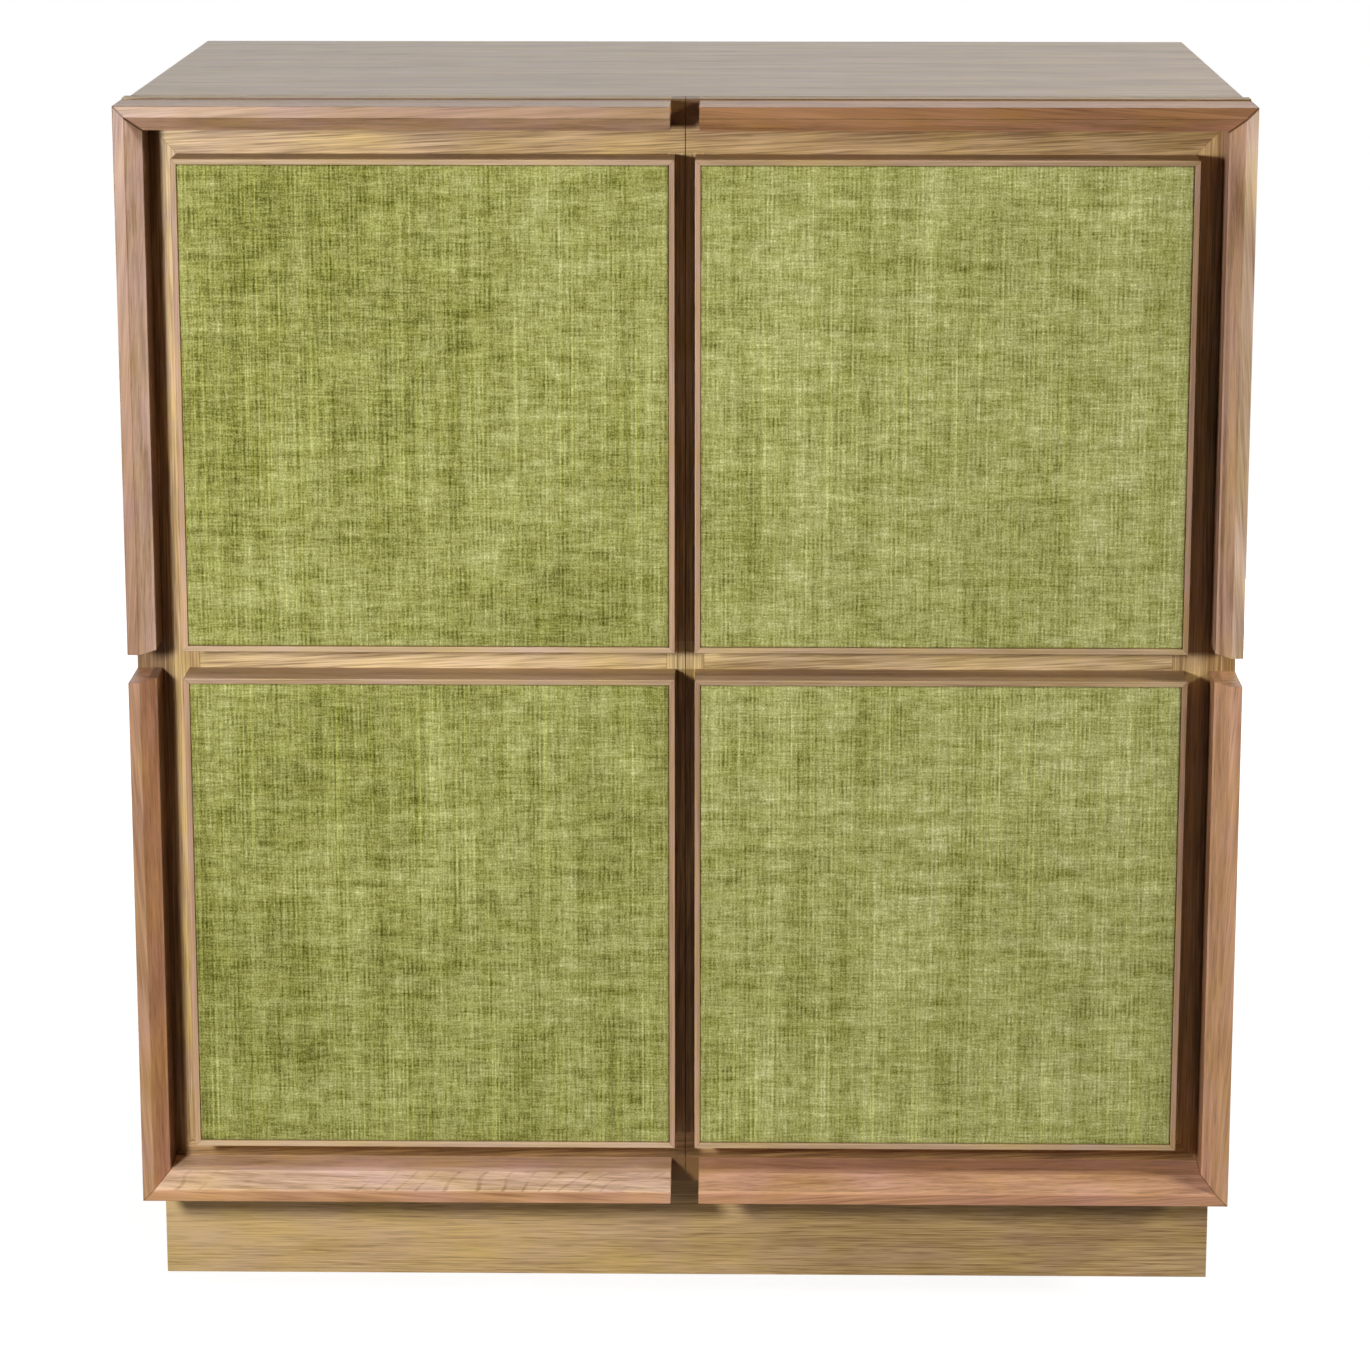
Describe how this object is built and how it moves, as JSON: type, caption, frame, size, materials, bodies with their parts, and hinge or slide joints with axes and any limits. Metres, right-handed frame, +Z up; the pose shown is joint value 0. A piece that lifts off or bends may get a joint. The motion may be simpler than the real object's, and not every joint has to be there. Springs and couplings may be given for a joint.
{
  "type": "credenza",
  "caption": "Tall two-door credenza: veneered case on a recessed plinth, overlay doors with mitred bevelled mouldings and square velvet panels, shelves inside.",
  "frame": {"origin": "on the floor, under the middle of the overall box", "axes": "+X to the right seen from the front, +Y from front to back, +Z up; the doors face -Y"},
  "size_m": [1, 0.6396, 1.115],
  "materials": {
    "oak_veneer": "satin lacquer",
    "case_veneer": "satin lacquer",
    "plinth_veneer": "satin lacquer",
    "moulding_wood": "satin lacquer",
    "plain_board": "raw",
    "beech": "raw",
    "velvet": "ribbed pile",
    "hinge_brass": "brushed",
    "fastener_steel": "zinc plated",
    "catch_plastic": "matt"
  },
  "bodies": {
    "case": {"back_panel": "plain_board", "back_panel_screws": "fastener_steel", "case_bottom": "oak_veneer", "case_dowels": "beech", "case_side_left": "case_veneer", "case_side_right": "case_veneer", "case_top": "case_veneer", "catch_screws": "fastener_steel", "centre_partition": "oak_veneer", "door_catches": "catch_plastic", "hinge_case_leaves": "hinge_brass", "hinge_case_screws": "fastener_steel", "hinge_pins": "hinge_brass", "plinth_back": "plain_board", "plinth_corner_blocks": "plain_board", "plinth_front": "plinth_veneer", "plinth_side_left": "plinth_veneer", "plinth_side_right": "plinth_veneer", "shelf_left": "oak_veneer", "shelf_pins": "fastener_steel", "shelf_right": "oak_veneer"},
    "left_door": {"left_door_board": "oak_veneer", "left_door_bottom_lipping": "oak_veneer", "left_door_hinge_leaves": "hinge_brass", "left_door_hinge_lipping": "oak_veneer", "left_door_hinge_screws": "fastener_steel", "left_door_lower_panel_core": "plain_board", "left_door_lower_panel_rim": "moulding_wood", "left_door_lower_panel_velvet": "velvet", "left_door_meeting_lipping": "oak_veneer", "left_door_moulding_bottom": "moulding_wood", "left_door_moulding_side_lower": "moulding_wood", "left_door_moulding_side_upper": "moulding_wood", "left_door_moulding_top": "moulding_wood", "left_door_panel_screws": "fastener_steel", "left_door_strike_plate": "fastener_steel", "left_door_top_lipping": "oak_veneer", "left_door_upper_panel_core": "plain_board", "left_door_upper_panel_rim": "moulding_wood", "left_door_upper_panel_velvet": "velvet"},
    "right_door": {"right_door_board": "oak_veneer", "right_door_bottom_lipping": "oak_veneer", "right_door_hinge_leaves": "hinge_brass", "right_door_hinge_lipping": "oak_veneer", "right_door_hinge_screws": "fastener_steel", "right_door_lower_panel_core": "plain_board", "right_door_lower_panel_rim": "moulding_wood", "right_door_lower_panel_velvet": "velvet", "right_door_meeting_lipping": "oak_veneer", "right_door_moulding_bottom": "moulding_wood", "right_door_moulding_side_lower": "moulding_wood", "right_door_moulding_side_upper": "moulding_wood", "right_door_moulding_top": "moulding_wood", "right_door_panel_screws": "fastener_steel", "right_door_strike_plate": "fastener_steel", "right_door_top_lipping": "oak_veneer", "right_door_upper_panel_core": "plain_board", "right_door_upper_panel_rim": "moulding_wood", "right_door_upper_panel_velvet": "velvet"}
  },
  "joints": [
    {"name": "left_door_hinge", "type": "hinge", "parent": "case", "child": "left_door", "pos_m": [-0.4973, -0.23545, 0.6095], "axis": [0, 0, -1], "range_deg": [0, 110]},
    {"name": "right_door_hinge", "type": "hinge", "parent": "case", "child": "right_door", "pos_m": [0.4973, -0.23545, 0.6095], "axis": [0, 0, 1], "range_deg": [0, 110]}
  ]
}
